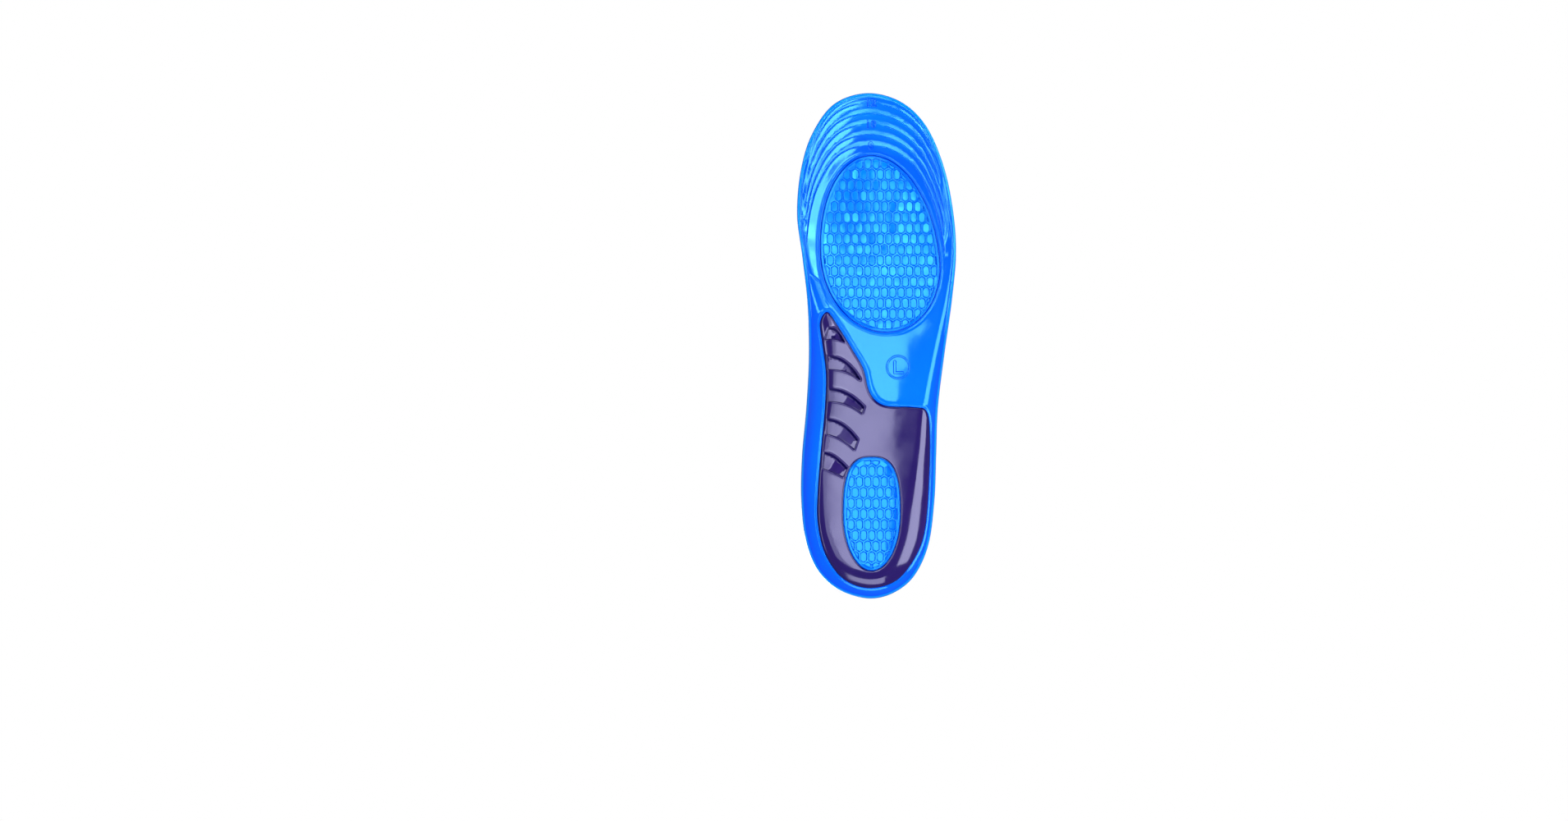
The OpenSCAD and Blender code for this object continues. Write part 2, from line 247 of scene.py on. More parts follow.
class Place:
    """Where points lie between the middle line and the rim."""

    def __init__(self, p):
        x, y = p[:, 0], p[:, 1]
        sx, sy = spine_point(y)
        self.y = y
        self.inner = x > sx
        out = np.hypot(x - sx, y - sy)
        rim_x = np.where(self.inner, np.interp(y, SIDE_IN[:, 1], SIDE_IN[:, 0]),
                         np.interp(y, SIDE_OUT[:, 1], SIDE_OUT[:, 0]))
        reach, rim_y = np.abs(rim_x - sx), y.copy()
        for fan, here, sign in ((HEEL_FAN, y < SPINE_LOW, -1), (TOE_FAN, y > SPINE_HIGH, 1)):
            angle = np.arctan2(x - sx, sign * (y - sy))
            reach = np.where(here, np.interp(angle, fan[0], fan[1]), reach)
            rim_y = np.where(here, np.interp(angle, fan[0], fan[2]), rim_y)
        self.share = out / reach
        self.inset = reach - out
        self.rim_h = np.where(self.inner, value_at(TOP_INNER, rim_y / KY),
                              value_at(TOP_OUTER, rim_y / KY))
        self.roll = np.where(self.inner, value_at(ROLL_INNER, rim_y / KY),
                             value_at(ROLL_OUTER, rim_y / KY))

    def top(self):
        """Height of the top of the cover."""
        mid = value_at(TOP_MIDDLE, self.y / KY)
        return mid + (self.rim_h - mid) * np.clip(self.share, 0, 1.02) ** DISH

    def crown(self):
        """How far the slightly domed underside rises from the shoe's floor."""
        return value_at(CROWN, self.y / KY) * np.clip(self.share, 0, 1) ** 2

    def floor(self):
        """Height of the lowest surface, with its rolled edge."""
        lift = self.rim_h - COVER_T - FILM_T - RIM_T - PROUD_T
        roll = np.clip(1 - self.inset / self.roll, 0, 1.05) ** ROLL_POWER
        return self.crown() + (lift - self.crown()) * roll


def rim_ring(inset, step=1.2):
    """The rim's outline, moved in towards the middle line."""
    p = evened(RIM, step, True)
    sx, sy = spine_point(p[:, 1])
    d = np.column_stack([sx, sy]) - p
    return p + d * (inset / np.hypot(*d.T))[:, None]


def near(p, path, closed=False):
    """Each point's distance from a path, and how far along the path it is, in mm."""
    best = np.full(len(p), 1e9)
    along = np.zeros(len(p))
    ends = np.vstack([path, path[:1]]) if closed else path
    run = 0.0
    for a, b in zip(ends[:-1], ends[1:]):
        d = b - a
        size = math.hypot(*d)
        if size < 1e-9:
            continue
        t = np.clip(((p - a) @ d) / size ** 2, 0, 1)
        gap = np.hypot(p[:, 0] - a[0] - t * d[0], p[:, 1] - a[1] - t * d[1])
        closer = gap < best
        best = np.where(closer, gap, best)
        along = np.where(closer, run + t * size, along)
        run += size
    return best, along, run


def within(p, ring):
    """Whether each point is inside a closed path."""
    x, y = p[:, 0], p[:, 1]
    odd = np.zeros(len(p), bool)
    for a, b in zip(ring, np.roll(ring, -1, 0)):
        if a[1] == b[1]:
            continue
        crosses = (a[1] > y) != (b[1] > y)
        odd ^= crosses & (x < a[0] + (y - a[1]) * (b[0] - a[0]) / (b[1] - a[1]))
    return odd


def depth_in(p, ring, reach=1e9):
    """How far inside a closed path each point is, and less than 0 outside it."""
    lo, hi = ring.min(0) - reach, ring.max(0) + reach
    out = np.full(len(p), -reach)
    k = np.all((p > lo) & (p < hi), 1)
    if k.any():
        gap = near(p[k], ring, True)[0]
        out[k] = np.where(within(p[k], ring), gap, -gap)
    return out


def ease(t):
    t = np.clip(t, 0, 1)
    return t * t * (3 - 2 * t)


def rounded(depth, radius):
    """How much a rounded edge lifts the surface at a depth in from the edge."""
    t = np.clip(1 - depth / radius, 0, 1)
    return radius * (1 - np.sqrt(1 - t * t))


def bead(depth, at, width):
    """1 on a line at a set depth from an edge, falling softly to 0 beside it."""
    return np.exp(-((depth - at) / width) ** 2)


def line_fade(along, length, run):
    """0 at both ends of a line and 1 beyond a run in from them."""
    return ease(along / run) * ease((length - along) / run)


def ripple(p, seed, size, height, count=14):
    """Slow unevenness of a cast surface."""
    rng = np.random.default_rng(seed)
    out = np.zeros(len(p))
    for _ in range(count):
        turn, phase = rng.uniform(0, 2 * math.pi, 2)
        wave = size * rng.uniform(0.6, 1.8)
        k = 2 * math.pi / wave
        out += np.sin(k * (p[:, 0] * math.cos(turn) + p[:, 1] * math.sin(turn)) + phase) * wave / size
    return out * height / math.sqrt(count)


# ---- Plans and slabs ----

class Plan:
    """Points and lines on the floor plan, triangulated together."""

    def __init__(self):
        self.points = []
        self.edges = []
        self.count = 0

    def scatter(self, pts):
        self.points.append(np.asarray(pts, float))
        self.count += len(pts)

    def line(self, path, closed=True):
        n, first = len(path), self.count
        self.scatter(path)
        last = n if closed else n - 1
        self.edges += [(first + i, first + (i + 1) % n) for i in range(last)]

    def beside(self, path, offsets, closed=True, keep=None):
        """Rows of points at set distances from an evened path."""
        for offset in offsets:
            row = shifted(path, offset, closed)
            row = row[near(row, path, closed)[0] > 0.96 * abs(offset) - 0.02]
            self.scatter(row if keep is None else row[keep(row)])

    def grid(self, lo, hi, step, keep=None):
        """Points in staggered rows."""
        rise = step * math.sqrt(3) / 2
        rows = np.arange(lo[1], hi[1], rise)
        pts = [(x, y) for i, y in enumerate(rows)
               for x in np.arange(lo[0] + (i % 2) * step / 2, hi[0], step)]
        pts = np.array(pts)
        self.scatter(pts if keep is None else pts[keep(pts)])

    def triangles(self, keep):
        pts = np.vstack(self.points)
        out = delaunay_2d_cdt([tuple(q) for q in pts], self.edges, [], 0, 1e-4, False)
        xy, tri = np.array([tuple(v) for v in out[0]]), np.array(out[2])
        a, b, c = (xy[tri[:, k]] for k in range(3))
        area = (b[:, 0] - a[:, 0]) * (c[:, 1] - a[:, 1]) - (b[:, 1] - a[:, 1]) * (c[:, 0] - a[:, 0])
        tri[area < 0] = tri[area < 0][:, ::-1]
        tri = tri[(np.abs(area) > 1e-9) & keep((a + b + c) / 3)]
        used = np.unique(tri)
        fresh = np.full(len(xy), -1)
        fresh[used] = np.arange(len(used))
        return xy[used], fresh[tri]


def slopes(height, xy, step=0.03):
    """The slope of a height along X and along Y at each point."""
    here = height(xy)
    along = [height(xy + shift) - here for shift in (np.array([step, 0]), np.array([0, step]))]
    return np.column_stack(along) / step


def unit(v):
    return v / np.maximum(np.linalg.norm(v, axis=1), 1e-12)[:, None]


def corner_normals(faces, verts, normals, alike=0.3):
    """A normal for every corner: the surface's own, or the face's where the two do not agree."""
    a, b, c = (verts[faces[:, k]] for k in (0, 1, 2))
    flat = unit(np.cross(b - a, c - a))
    out = normals[faces]
    agree = np.einsum("ijk,ik->ij", out, flat) > alike
    return np.where(agree[:, :, None], out, flat[:, None, :]).reshape(-1, 3)


def floor_height(p):
    return Place(p).floor()


def slab(name, xy, tri, low, high, low_slope, high_slope, material, thick=None):
    """A closed solid between two heights over one plan, shaded by the slopes of the heights."""
    n = len(xy)
    verts = np.vstack([np.column_stack([xy, low]), np.column_stack([xy, high])])
    sides = np.vstack([tri[:, [0, 1]], tri[:, [1, 2]], tri[:, [2, 0]]])
    key = np.sort(sides, 1)
    key = key[:, 0] * n + key[:, 1]
    _, at, counts = np.unique(key, return_index=True, return_counts=True)
    edge = sides[at[counts == 1]]
    wall = np.column_stack([edge[:, 0], edge[:, 1], edge[:, 1] + n, edge[:, 0] + n])
    under, over = tri[:, ::-1], tri + n
    mesh = bpy.data.meshes.new(name)
    mesh.from_pydata((verts * MM).tolist(), [], under.tolist() + over.tolist() + wall.tolist())
    mesh.shade_smooth()
    up = np.ones(n)
    facing = unit(np.vstack([np.column_stack([low_slope, -up]), np.column_stack([-high_slope, up])]))
    run = xy[edge[:, 1]] - xy[edge[:, 0]]
    outward = np.zeros((2 * n, 3))
    for end in wall.T:
        np.add.at(outward, end, np.column_stack([run[:, 1], -run[:, 0], np.zeros(len(run))]))
    corners = [corner_normals(under, verts, facing), corner_normals(over, verts, facing),
               corner_normals(wall, verts, unit(outward))]
    mesh.normals_split_custom_set(np.vstack(corners).tolist())
    if thick is not None:
        layer = mesh.attributes.new("thick", "FLOAT", "POINT")
        layer.data.foreach_set("value", np.concatenate([thick, thick]).astype(np.float32))
        # Painted shade: this value grows with how steeply the underside leaves the base floor, and the
        # gel materials darken their colour by it on the walls of grooves, pockets and slots.
        relief = np.hypot(*(low_slope - slopes(floor_height, xy)).T)
        steep_shade = relief / np.hypot(relief, 1)
        layer = mesh.attributes.new("steep_shade", "FLOAT", "POINT")
        layer.data.foreach_set("value", np.concatenate([steep_shade, 0 * steep_shade]).astype(np.float32))
    mesh.materials.append(material)
    obj = bpy.data.objects.new(name, mesh)
    bpy.context.scene.collection.objects.link(obj)
    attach(obj, "root")
    return obj


# ---- Materials ----

class Nodes:
    """Short names for building a material's nodes."""

    def __init__(self, name):
        self.material = bpy.data.materials.new(name)
        self.material.use_nodes = True
        self.tree = self.material.node_tree
        self.tree.nodes.clear()
        self.out = self.add("ShaderNodeOutputMaterial")
        self.shader = self.add("ShaderNodeBsdfPrincipled")
        self.link(self.shader.outputs["BSDF"], self.out.inputs["Surface"])
        self.place = self.add("ShaderNodeTexCoord").outputs["Object"]

    def add(self, kind, **values):
        node = self.tree.nodes.new(kind)
        for key, value in values.items():
            setattr(node, key, value)
        return node

    def link(self, a, b):
        self.tree.links.new(a, b)

    def set(self, **values):
        for key, value in values.items():
            self.shader.inputs[key.replace("_", " ")].default_value = value

    def noise(self, scale, detail=3.0, rough=0.5, stretch=None):
        node = self.add("ShaderNodeTexNoise")
        node.inputs["Scale"].default_value = scale
        node.inputs["Detail"].default_value = detail
        node.inputs["Roughness"].default_value = rough
        source = self.place
        if stretch:
            mapping = self.add("ShaderNodeMapping")
            mapping.inputs["Scale"].default_value = stretch
            self.link(source, mapping.inputs["Vector"])
            source = mapping.outputs["Vector"]
        self.link(source, node.inputs["Vector"])
        return node.outputs["Fac"]

    def ramp(self, value, stops):
        node = self.add("ShaderNodeValToRGB")
        points = node.color_ramp.elements
        while len(points) < len(stops):
            points.new(0.5)
        for point, (at, colour) in zip(points, stops):
            point.position = at
            point.color = (*colour, 1)
        self.link(value, node.inputs["Fac"])
        return node.outputs["Color"]

    def span(self, value, a, b, c, d):
        node = self.add("ShaderNodeMapRange")
        for key, number in zip(("From Min", "From Max", "To Min", "To Max"), (a, b, c, d)):
            node.inputs[key].default_value = number
        self.link(value, node.inputs["Value"])
        return node.outputs["Result"]

    def mix(self, share, a, b, kind="MIX"):
        node = self.add("ShaderNodeMix", data_type="RGBA", blend_type=kind)
        if isinstance(share, float):
            node.inputs[0].default_value = share
        else:
            self.link(share, node.inputs[0])
        self.link(a, node.inputs[6])
        self.link(b, node.inputs[7])
        return node.outputs[2]

    def bump(self, layers):
        """Bump layers, each a height, a strength and a distance in metres."""
        last = None
        for height, strength, distance in layers:
            node = self.add("ShaderNodeBump")
            node.inputs["Strength"].default_value = strength
            node.inputs["Distance"].default_value = distance
            self.link(height, node.inputs["Height"])
            if last:
                self.link(last, node.inputs["Normal"])
            last = node.outputs["Normal"]
        self.link(last, self.shader.inputs["Normal"])


def linear(r, g, b):
    """A colour as it is seen on a screen, 0 to 255, in the renderer's linear values."""
    return tuple(((c / 255 + 0.055) / 1.055) ** 2.4 if c > 10 else c / 255 / 12.92 for c in (r, g, b))


def gel(name, thin, middle, thick, rough, shine):
    """Glossy gel whose colour deepens where it is thick, with painted shade darkening its steep walls.
    """
    m = Nodes(name)
    layer = m.add("ShaderNodeAttribute", attribute_name="thick").outputs["Fac"]
    base = m.ramp(m.span(layer, 0.0, 9.0, 0.0, 1.0), [(0.15, thin), (0.25, middle), (0.85, thick)])
    cloud = m.ramp(m.noise(38, 4), [(0.3, (0.86, 0.93, 0.97)), (0.7, (1, 1, 1))])
    speck = m.ramp(m.noise(900, 2, 0.6), [(0.32, (0.9, 0.95, 0.98)), (0.55, (1, 1, 1))])
    steep_shade = m.add("ShaderNodeAttribute", attribute_name="steep_shade").outputs["Fac"]
    # Painted shade: the colour is darkened towards deep blue on steep walls.
    wall = m.ramp(steep_shade, [(0.35, (1, 1, 1)), (0.85, (0.15, 0.3, 0.6))])
    base = m.mix(1.0, m.mix(1.0, base, cloud, "MULTIPLY"), wall, "MULTIPLY")
    m.link(m.mix(1.0, base, speck, "MULTIPLY"), m.shader.inputs["Base Color"])
    m.link(m.span(m.noise(55, 3), 0.3, 0.7, rough * 0.7, rough * 1.5), m.shader.inputs["Roughness"])
    m.set(IOR=1.62, Specular_Tint=(*shine, 1), Subsurface_Weight=0.1,
          Subsurface_Radius=(0.2, 0.5, 1.0), Subsurface_Scale=0.002)
    m.bump([(m.noise(1300, 2), 0.1, 0.00004), (m.noise(100, 2), 0.2, 0.0001)])
    return m.material


def velour():
    m = Nodes("velour_cream")
    nap = m.noise(1500, 3, 0.7)
    tuft = m.noise(420, 4, 0.65, (1, 0.6, 1))
    fine = m.ramp(nap, [(0.28, linear(226, 218, 213)), (0.5, linear(249, 245, 242)),
                        (0.75, linear(255, 254, 253))])
    brushed = m.ramp(m.noise(55, 4, 0.6, (1, 0.22, 1)), [(0.35, (0.92, 0.91, 0.905)), (0.65, (1, 1, 1))])
    pressed = m.ramp(m.noise(16, 3), [(0.3, (0.95, 0.945, 0.94)), (0.7, (1, 1, 1))])
    tufts = m.ramp(tuft, [(0.3, (0.9, 0.893, 0.888)), (0.6, (1, 1, 1))])
    shade = m.mix(1.0, m.mix(1.0, brushed, pressed, "MULTIPLY"), tufts, "MULTIPLY")
    m.link(m.mix(1.0, fine, shade, "MULTIPLY"), m.shader.inputs["Base Color"])
    m.set(Roughness=0.95, Sheen_Weight=0.45, Sheen_Roughness=0.4, Specular_IOR_Level=0.2)
    m.bump([(tuft, 0.5, 0.0004), (nap, 0.7, 0.00025)])
    return m.material


def film():
    m = Nodes("film_clear")
    tone = m.ramp(m.noise(80, 2), [(0.3, (0.62, 0.68, 0.78)), (0.7, (0.74, 0.79, 0.86))])
    m.link(tone, m.shader.inputs["Base Color"])
    m.set(Roughness=0.35)
    m.bump([(m.noise(300, 2), 0.1, 0.0001)])
    return m.material


BLUE = gel("gel_blue", linear(0, 150, 255), linear(0, 78, 246), linear(0, 104, 248), 0.06,
           (0.2, 1.0, 1.0))
SOFT_BLUE = gel("gel_soft_blue", linear(0, 116, 248), linear(0, 90, 246), linear(0, 104, 246),
                0.05, (0.12, 1.0, 1.0))
INDIGO = gel("gel_indigo", linear(40, 18, 98), linear(31, 11, 85), linear(25, 8, 75), 0.11,
             (0.7, 0.7, 1.0))
CREAM = velour()
CLEAR = film()


# ---- The velour cover and the film ----

def layer_plan(inset, step):
    plan = Plan()
    for d in (0, 0.07, 0.18, 0.35, 0.8, 1.6):
        plan.line(rim_ring(inset + d))
    plan.grid(RIM.min(0), RIM.max(0), step, lambda p: Place(p).inset > inset + 2.2)
    return plan.triangles(lambda c: Place(c).inset > inset - 1e-3)


def velour_top(p):
    at = Place(p)
    edge = at.inset - COVER_INSET
    nap = ripple(p, 3, 9, 0.035) + ripple(p, 4, 3.5, 0.02)
    return at.top() + nap * ease(edge / 3) - rounded(edge, 0.35)


def cover_top(p):
    return Place(p).top()


def make_cover():
    xy, tri = layer_plan(COVER_INSET, 1.7)
    low = cover_top(xy) - COVER_T + 0.01
    return slab("velour_cover", xy, tri, low, velour_top(xy), slopes(cover_top, xy),
                slopes(velour_top, xy), CREAM)


def make_film():
    xy, tri = layer_plan(0.2, 4.0)
    top = cover_top(xy) - COVER_T
    slope = slopes(cover_top, xy)
    return slab("gel_film", xy, tri, top - FILM_T + 0.02, top - 0.02, slope, slope, CLEAR)


# ---- Shapes on the underside ----

def egg_points(mid, half_w, to_toe, to_heel, lean, square, n=240):
    a = np.arange(n) * 2 * math.pi / n
    power = np.where(np.sin(a) > 0, square, 1.0)
    x = half_w * np.sign(np.cos(a)) * np.abs(np.cos(a)) ** power
    y = np.where(np.sin(a) > 0, to_toe, to_heel) * np.sign(np.sin(a)) * np.abs(np.sin(a)) ** power
    return (mid + np.column_stack([x + y * lean, y])) * STRETCH


FORE_EGG = egg_points(FORE_MID, FORE_HALF_W, FORE_TO_TOE, FORE_TO_HEEL, FORE_LEAN, 1.0, 360)
HEEL_EGG = egg_points(HEEL_MID, HEEL_HALF_W, HEEL_HALF_L, HEEL_HALF_L, 0.0, HEEL_SQUARE, 240)
SUPPORT_RING = closed_curve(SUPPORT_OUTLINE, 16)
SLOT_SIDES = [(arc3(*s[:3]) * STRETCH, arc3(*s[3:]) * STRETCH) for s in SLOTS]
SLOT_RINGS = [np.vstack(sides) for sides in SLOT_SIDES]
SLOT_TOE_SIDES = [toe_side for toe_side, _ in SLOT_SIDES]


def trim_paths():
    """The trim lines, each broken where its number stands."""
    ring = rim_ring(TRIM_INSET)
    paths = []
    for i, ends in enumerate(TRIM_ENDS):
        k = 1 - (TRIM_FIRST + TRIM_STEP * i) / DRAWN_L
        p = np.column_stack([ring[:, 0] * k, (ring[:, 1] + HALF_L) * k - HALF_L])
        p = np.roll(p, -np.argmin(p[:, 1]), 0)
        p = p[p[:, 1] > KY * np.where(p[:, 0] > 0, ends[0], ends[1])]
        gap = NUMBER_GAP if i % 2 == 0 else 0
        for part in (p[p[:, 0] > NUMBER_X * KX + gap], p[p[:, 0] < NUMBER_X * KX - gap]):
            paths.append(part)
        if not gap:
            paths[-2:] = [p]
    return paths


def trim_count(p):
    """How many trim lines lie between each point and the toe's rim, with the share to the next one."""
    ring = rim_ring(TRIM_INSET)
    ring = ring[ring[:, 1] > 0]
    angle = np.arctan2(ring[:, 0], ring[:, 1] + HALF_L)
    order = np.argsort(angle)
    reach = np.hypot(ring[:, 0], ring[:, 1] + HALF_L)[order]
    size = np.hypot(p[:, 0], p[:, 1] + HALF_L)
    size /= np.interp(np.arctan2(p[:, 0], p[:, 1] + HALF_L), angle[order], reach)
    return ((1 - size) * DRAWN_L - TRIM_FIRST) / TRIM_STEP


def ellipse(rx, ry, n=28, mid=(0, 0)):
    a = np.arange(n + 1) * 2 * math.pi / n
    return np.column_stack([mid[0] + rx * np.cos(a), mid[1] + ry * np.sin(a)])


def digit_paths(digit):
    h = NUMBER_H / 2
    r = h * 0.48
    if digit == 0:
        return [ellipse(r, h * 0.9)]
    if digit == 1:
        return [np.array([(0, -h), (0, h)])]
    if digit == 2:
        a = np.radians(np.arange(170, -50, -20))
        hook = np.column_stack([r * np.cos(a), h - r + r * np.sin(a)])
        foot = -h + STROKE_W / 2
        return [np.vstack([hook, [(-r, foot), (r + STROKE_W / 2, foot)]])]
    return [ellipse(r * 0.85, r * 0.85, mid=(0, r)), ellipse(r, r, mid=(0, -r))]


def number_paths():
    paths = []
    for i, digits in ((0, (1, 2)), (2, (1, 0)), (4, (8,))):
        mid = np.array([NUMBER_X * KX, HALF_L - TRIM_FIRST - TRIM_STEP * i - TRIM_INSET])
        for k, digit in enumerate(digits):
            across = (k - (len(digits) - 1) / 2) * NUMBER_H * 0.8
            for path in digit_paths(digit):
                paths.append((path + (across, 0)) * (-1, 1) + mid)
    return paths


def mark_paths():
    leg = SIDE_MARK_R * 0.5
    letter = np.array([(-0.6 * leg, leg), (-0.6 * leg, -leg), (0.8 * leg, -leg)])
    mid = SIDE_MARK * STRETCH
    ring = ellipse(SIDE_MARK_R, SIDE_MARK_R, 64)
    return [(letter * (-1, 1) + mid, STROKE_W * 1.5), (ring + mid, STROKE_W)]


TRIMS = trim_paths()
NUMBERS = number_paths()
MARKS = mark_paths()


def strokes(p, paths_and_widths, soft=0.22):
    """1 on raised strokes, falling to 0 just outside them."""
    out = np.zeros(len(p))
    for path, width in paths_and_widths:
        k = np.all((p > path.min(0) - 2) & (p < path.max(0) + 2), 1)
        if k.any():
            gap = near(p[k], path)[0]
            out[k] = np.maximum(out[k], 1 - ease((gap - width / 2 + soft / 2) / soft))
    return out


# ---- The blue gel body ----

def gel_underside(xy):
    """The gel's lower surface before its pockets."""
    at = Place(xy)
    z = at.floor() + PROUD_T + rounded(at.inset, RIM_ROUND)
    z += LIP_DEPTH * bead(at.inset, LIP_AT, LIP_W)
    bands = np.clip(trim_count(xy), -0.5, len(TRIM_ENDS) - 0.5)
    fade = ease((xy[:, 1] - BAND_FROM) / BAND_FADE)
    aside = ease(np.abs(xy[:, 0] + 1) / BAND_MIDDLE_W)
    fade *= BAND_MIDDLE_SHARE + (1 - BAND_MIDDLE_SHARE) * aside
    flat = ease((xy[:, 0] - FLAT_FROM) / FLAT_FADE)
    z -= BAND_RISE * fade * (1 - flat) * (0.5 - 0.5 * np.cos(2 * math.pi * bands))
    z -= BAND_FLAT * fade * flat * (1 - (2 * (bands % 1) - 1) ** 4)
    for path in TRIMS:
        k = np.all((xy > path.min(0) - 2) & (xy < path.max(0) + 2), 1)
        gap, along, length = near(xy[k], path)
        fade = line_fade(along, length, TRIM_FADE)
        fade *= 0.8 + 0.2 * np.cos(2 * math.pi * along / TRIM_BEAD)
        z[k] += TRIM_DEPTH * fade * (1 - ease(gap / (TRIM_W / 2)))
    crease, along, length = near(xy, CREASE * STRETCH)
    fade = line_fade(along, length, CREASE_FADE)
    z += CREASE_DEPTH * fade * (1 - ease(crease / CREASE_W))
    z -= MARK_RAISE * strokes(xy, [(path, STROKE_W) for path in NUMBERS])
    z -= MARK_RAISE * strokes(xy, MARKS, SIDE_MARK_SOFT)
    border = -depth_in(xy, SUPPORT_RING, 8.0)
    z += rounded(np.clip(border, 0, None), 0.5) - BORDER_H * bead(border, BORDER_AT, BORDER_W)
    oval = -depth_in(xy, FORE_EGG, 8.0)
    z += rounded(np.clip(oval, 0, None), 0.8) - OVAL_H * bead(oval, OVAL_AT, OVAL_W)
    z += (ripple(xy, 11, 30, 0.05) + ripple(xy, 12, 8, 0.004)) * ease(at.inset / 6)
    return z


def free_of(p, paths, gap):
    """Which points are farther than a gap from every path."""
    out = np.ones(len(p), bool)
    for path in paths:
        k = np.all((p > path.min(0) - gap) & (p < path.max(0) + gap), 1)
        out[k] &= near(p[k], path)[0] > gap
    return out


def make_gel():
    crease = CREASE * STRETCH

    def open_ground(p):
        clear = free_of(p, TRIMS, 0.7) & free_of(p, [crease], 1.3)
        clear &= np.abs(depth_in(p, FORE_EGG, 8) + 1.5) > 2.1
        return clear & (np.abs(depth_in(p, SUPPORT_RING, 8)) > 3.2)

    plan = Plan()
    for d in (0, 0.08, 0.2, 0.4, 0.7, 1.1, 1.45, 1.7, 1.9, 2.05, 2.2, 2.4):
        plan.line(rim_ring(d))
    for d in (2.8, 3.7, 4.8, 6.0, 7.2):
        row = rim_ring(d)
        plan.scatter(row[open_ground(row)])
    for path in TRIMS:
        plan.beside(evened(path, 0.45, False), (-0.5, -0.35, -0.2, 0, 0.2, 0.35, 0.5), False)
    plan.beside(evened(crease, 0.8, False), (-1.1, -0.7, -0.35, 0, 0.35, 0.7, 1.1), False)
    support = evened(SUPPORT_RING, 0.8, True)
    for offset in (-0.02, 0):
        plan.line(shifted(support, -offset, True))
    plan.beside(support, (-0.15, -0.35, -0.6, -0.9, -1.2, -1.5, -1.8, -2.2, -2.8), True,
                lambda p: Place(p).inset > 2.7)
    egg = evened(FORE_EGG, 1.0, True)
    for offset in (-0.02, 0):
        plan.line(shifted(egg, -offset, True))
    plan.beside(egg, (-0.15, -0.35, -0.6, -0.9, -1.2, -1.6, -2.0, -2.5, -3.1))
    plan.grid(RIM.min(0), RIM.max(0), 1.8, lambda p: (Place(p).inset > 8) & open_ground(p))
    for path in NUMBERS:
        plan.grid(path.min(0) - 1.0, path.max(0) + 1.0, 0.18)
    for path, _ in MARKS[1:]:
        plan.grid(path.min(0) - 1.2, path.max(0) + 1.2, 0.25)
    xy, tri = plan.triangles(lambda c: Place(c).inset > -1e-3)
    high = cover_top(xy) - COVER_T - FILM_T
    low = gel_underside(xy)
    inside = 0.01
    low = np.where(depth_in(xy, SUPPORT_RING, 2) > inside, high - OVER_T, low)
    low = np.where(depth_in(xy, FORE_EGG, 2) > inside, FORE_TOP + GAP / 2, low)
    # Painted light: near its rim the gel's colour is made lighter, as if it were thinner there, to stand
    # for light coming in from the side.
    thick = np.minimum(high - low, PAINTED_RIM_LIGHT + PAINTED_RIM_LIGHT_RISE * Place(xy).inset)
    return slab("gel_shell", xy, tri, low, high, slopes(gel_underside, xy), slopes(cover_top, xy), BLUE,
                thick)


# ---- The indigo arch and heel support ----

def support_underside(p, border, window):
    at = Place(p)
    z = at.floor()
    edge = depth_in(p, border, 4.0)
    z += rounded(np.clip(edge, 0, None), 1.3) * 0.9
    z += rounded(np.clip(-depth_in(p, window, 4.0), 0, None), 0.9) * 0.8
    for ring, toe_side in zip(SLOT_RINGS, SLOT_TOE_SIDES):
        d = depth_in(p, ring, 2.0)
        z -= SLOT_LIP_H * bead(d, SLOT_LIP_AT, SLOT_LIP_W)
        k = d > -0.1
        gap, along, length = near(p[k], toe_side)
        wall = np.minimum(ease((d[k] + 0.1) / 0.4), 0.1 + 0.9 * np.clip(gap / SLOT_BANK, 0, 1))
        drop = SLOT_DROP * np.clip((along / length - SLOT_BEND) / (1 - SLOT_BEND), 0, 1)
        bed = np.maximum(z[k] + 0.5, at.crown()[k] + SLOT_DEPTH + drop)
        z[k] += wall * (bed - z[k])
    return z + (ripple(p, 21, 34, 0.05) + ripple(p, 22, 9, 0.003)) * ease(edge / 5)


def make_support():
    plan = Plan()
    border = evened(SUPPORT_RING, 0.8, True)
    plan.line(shifted(border, GAP, True))
    plan.beside(border, (0.16, 0.26, 0.42, 0.65, 0.95, 1.4, 2.0, 2.8))
    window = evened(HEEL_EGG, 0.8, True)
    plan.line(shifted(window, -GAP, True))
    plan.beside(window, (-0.16, -0.26, -0.42, -0.65, -1.0, -1.5))
    for ring, toe_side in zip(SLOT_RINGS, SLOT_TOE_SIDES):
        turn = slot_turn(ring)
        offsets = [turn * d for d in (-1.2, -0.9, -0.65, -0.45, -0.3, -0.15, 0, 0.1, 0.2, 0.3, 0.5)]
        plan.beside(evened(ring, 0.4, True), offsets)
        plan.beside(evened(toe_side, 0.5, False), [turn * d for d in (0.75, 0.95, SLOT_BANK)], False,
                    lambda p, ring=ring: depth_in(p, ring) > 0.6)

    def open_ground(p):
        clear = (depth_in(p, SUPPORT_RING, 8) > 3.2) & (depth_in(p, HEEL_EGG, 8) < -1.8)
        for ring in SLOT_RINGS:
            d = depth_in(p, ring, 4)
            clear &= (d < -1.4) | (d > 0.7)
        return clear

    plan.grid(SUPPORT_RING.min(0), SUPPORT_RING.max(0), 1.2, open_ground)
    inside = shifted(border, GAP, True)
    hole = shifted(window, -GAP, True)
    xy, tri = plan.triangles(lambda c: within(c, inside) & ~within(c, hole))

    def under(p):
        return support_underside(p, inside, hole)

    high = cover_top(xy) - COVER_T - FILM_T - OVER_T - GAP / 2
    low = np.minimum(under(xy), high - 0.3)
    return slab("arch_support", xy, tri, low, high, slopes(under, xy), slopes(cover_top, xy), INDIGO,
                high - low)


def slot_turn(ring):
    """1 where a ring runs anticlockwise and -1 where it runs clockwise."""
    x, y = ring.T
    return 1 if np.sum(x * np.roll(y, -1) - y * np.roll(x, -1)) > 0 else -1


# ---- The honeycomb pads ----

